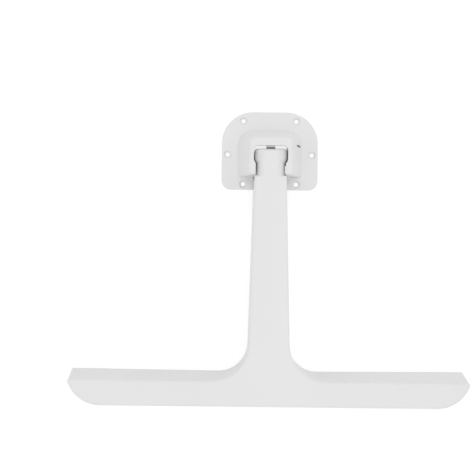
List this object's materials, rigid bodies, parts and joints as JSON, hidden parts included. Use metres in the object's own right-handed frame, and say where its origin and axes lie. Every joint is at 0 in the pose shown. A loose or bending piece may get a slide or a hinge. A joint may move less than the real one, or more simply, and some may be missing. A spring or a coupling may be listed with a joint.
{
  "type": "folding table leg",
  "caption": "Pressed steel T-shaped table leg that folds flat against its domed screw-on mounting plate",
  "frame": {"origin": "the point of the table-side mounting face straight under the middle of the hinge pin", "axes": "+X along the foot and the hinge pin, +Y towards the rounded end of the mounting plate, +Z out of the mounting face, away from the table board"},
  "size_m": [0.407, 0.3008, 0.027],
  "materials": {
    "white_paint": "smooth semi-gloss white stoved paint over pressed steel",
    "zinc_steel": "bright zinc plate",
    "spring_steel": "oiled blue-grey spring strip"
  },
  "bodies": {
    "plate": {"mounting_plate": "white_paint", "pivot_bracket": "white_paint", "pivot_pin": "zinc_steel", "pin_retainer": "zinc_steel", "detent_spring": "spring_steel", "spring_rivet": "zinc_steel"},
    "leg": {"leg_shell": "white_paint", "neck_doubler": "white_paint"}
  },
  "joints": [
    {"name": "leg_fold", "type": "hinge", "parent": "plate", "child": "leg", "pos_m": [0, 0, 0.0137], "axis": [-1, 0, 0], "range_deg": [0, 90], "deforming": ["detent_spring"]}
  ]
}
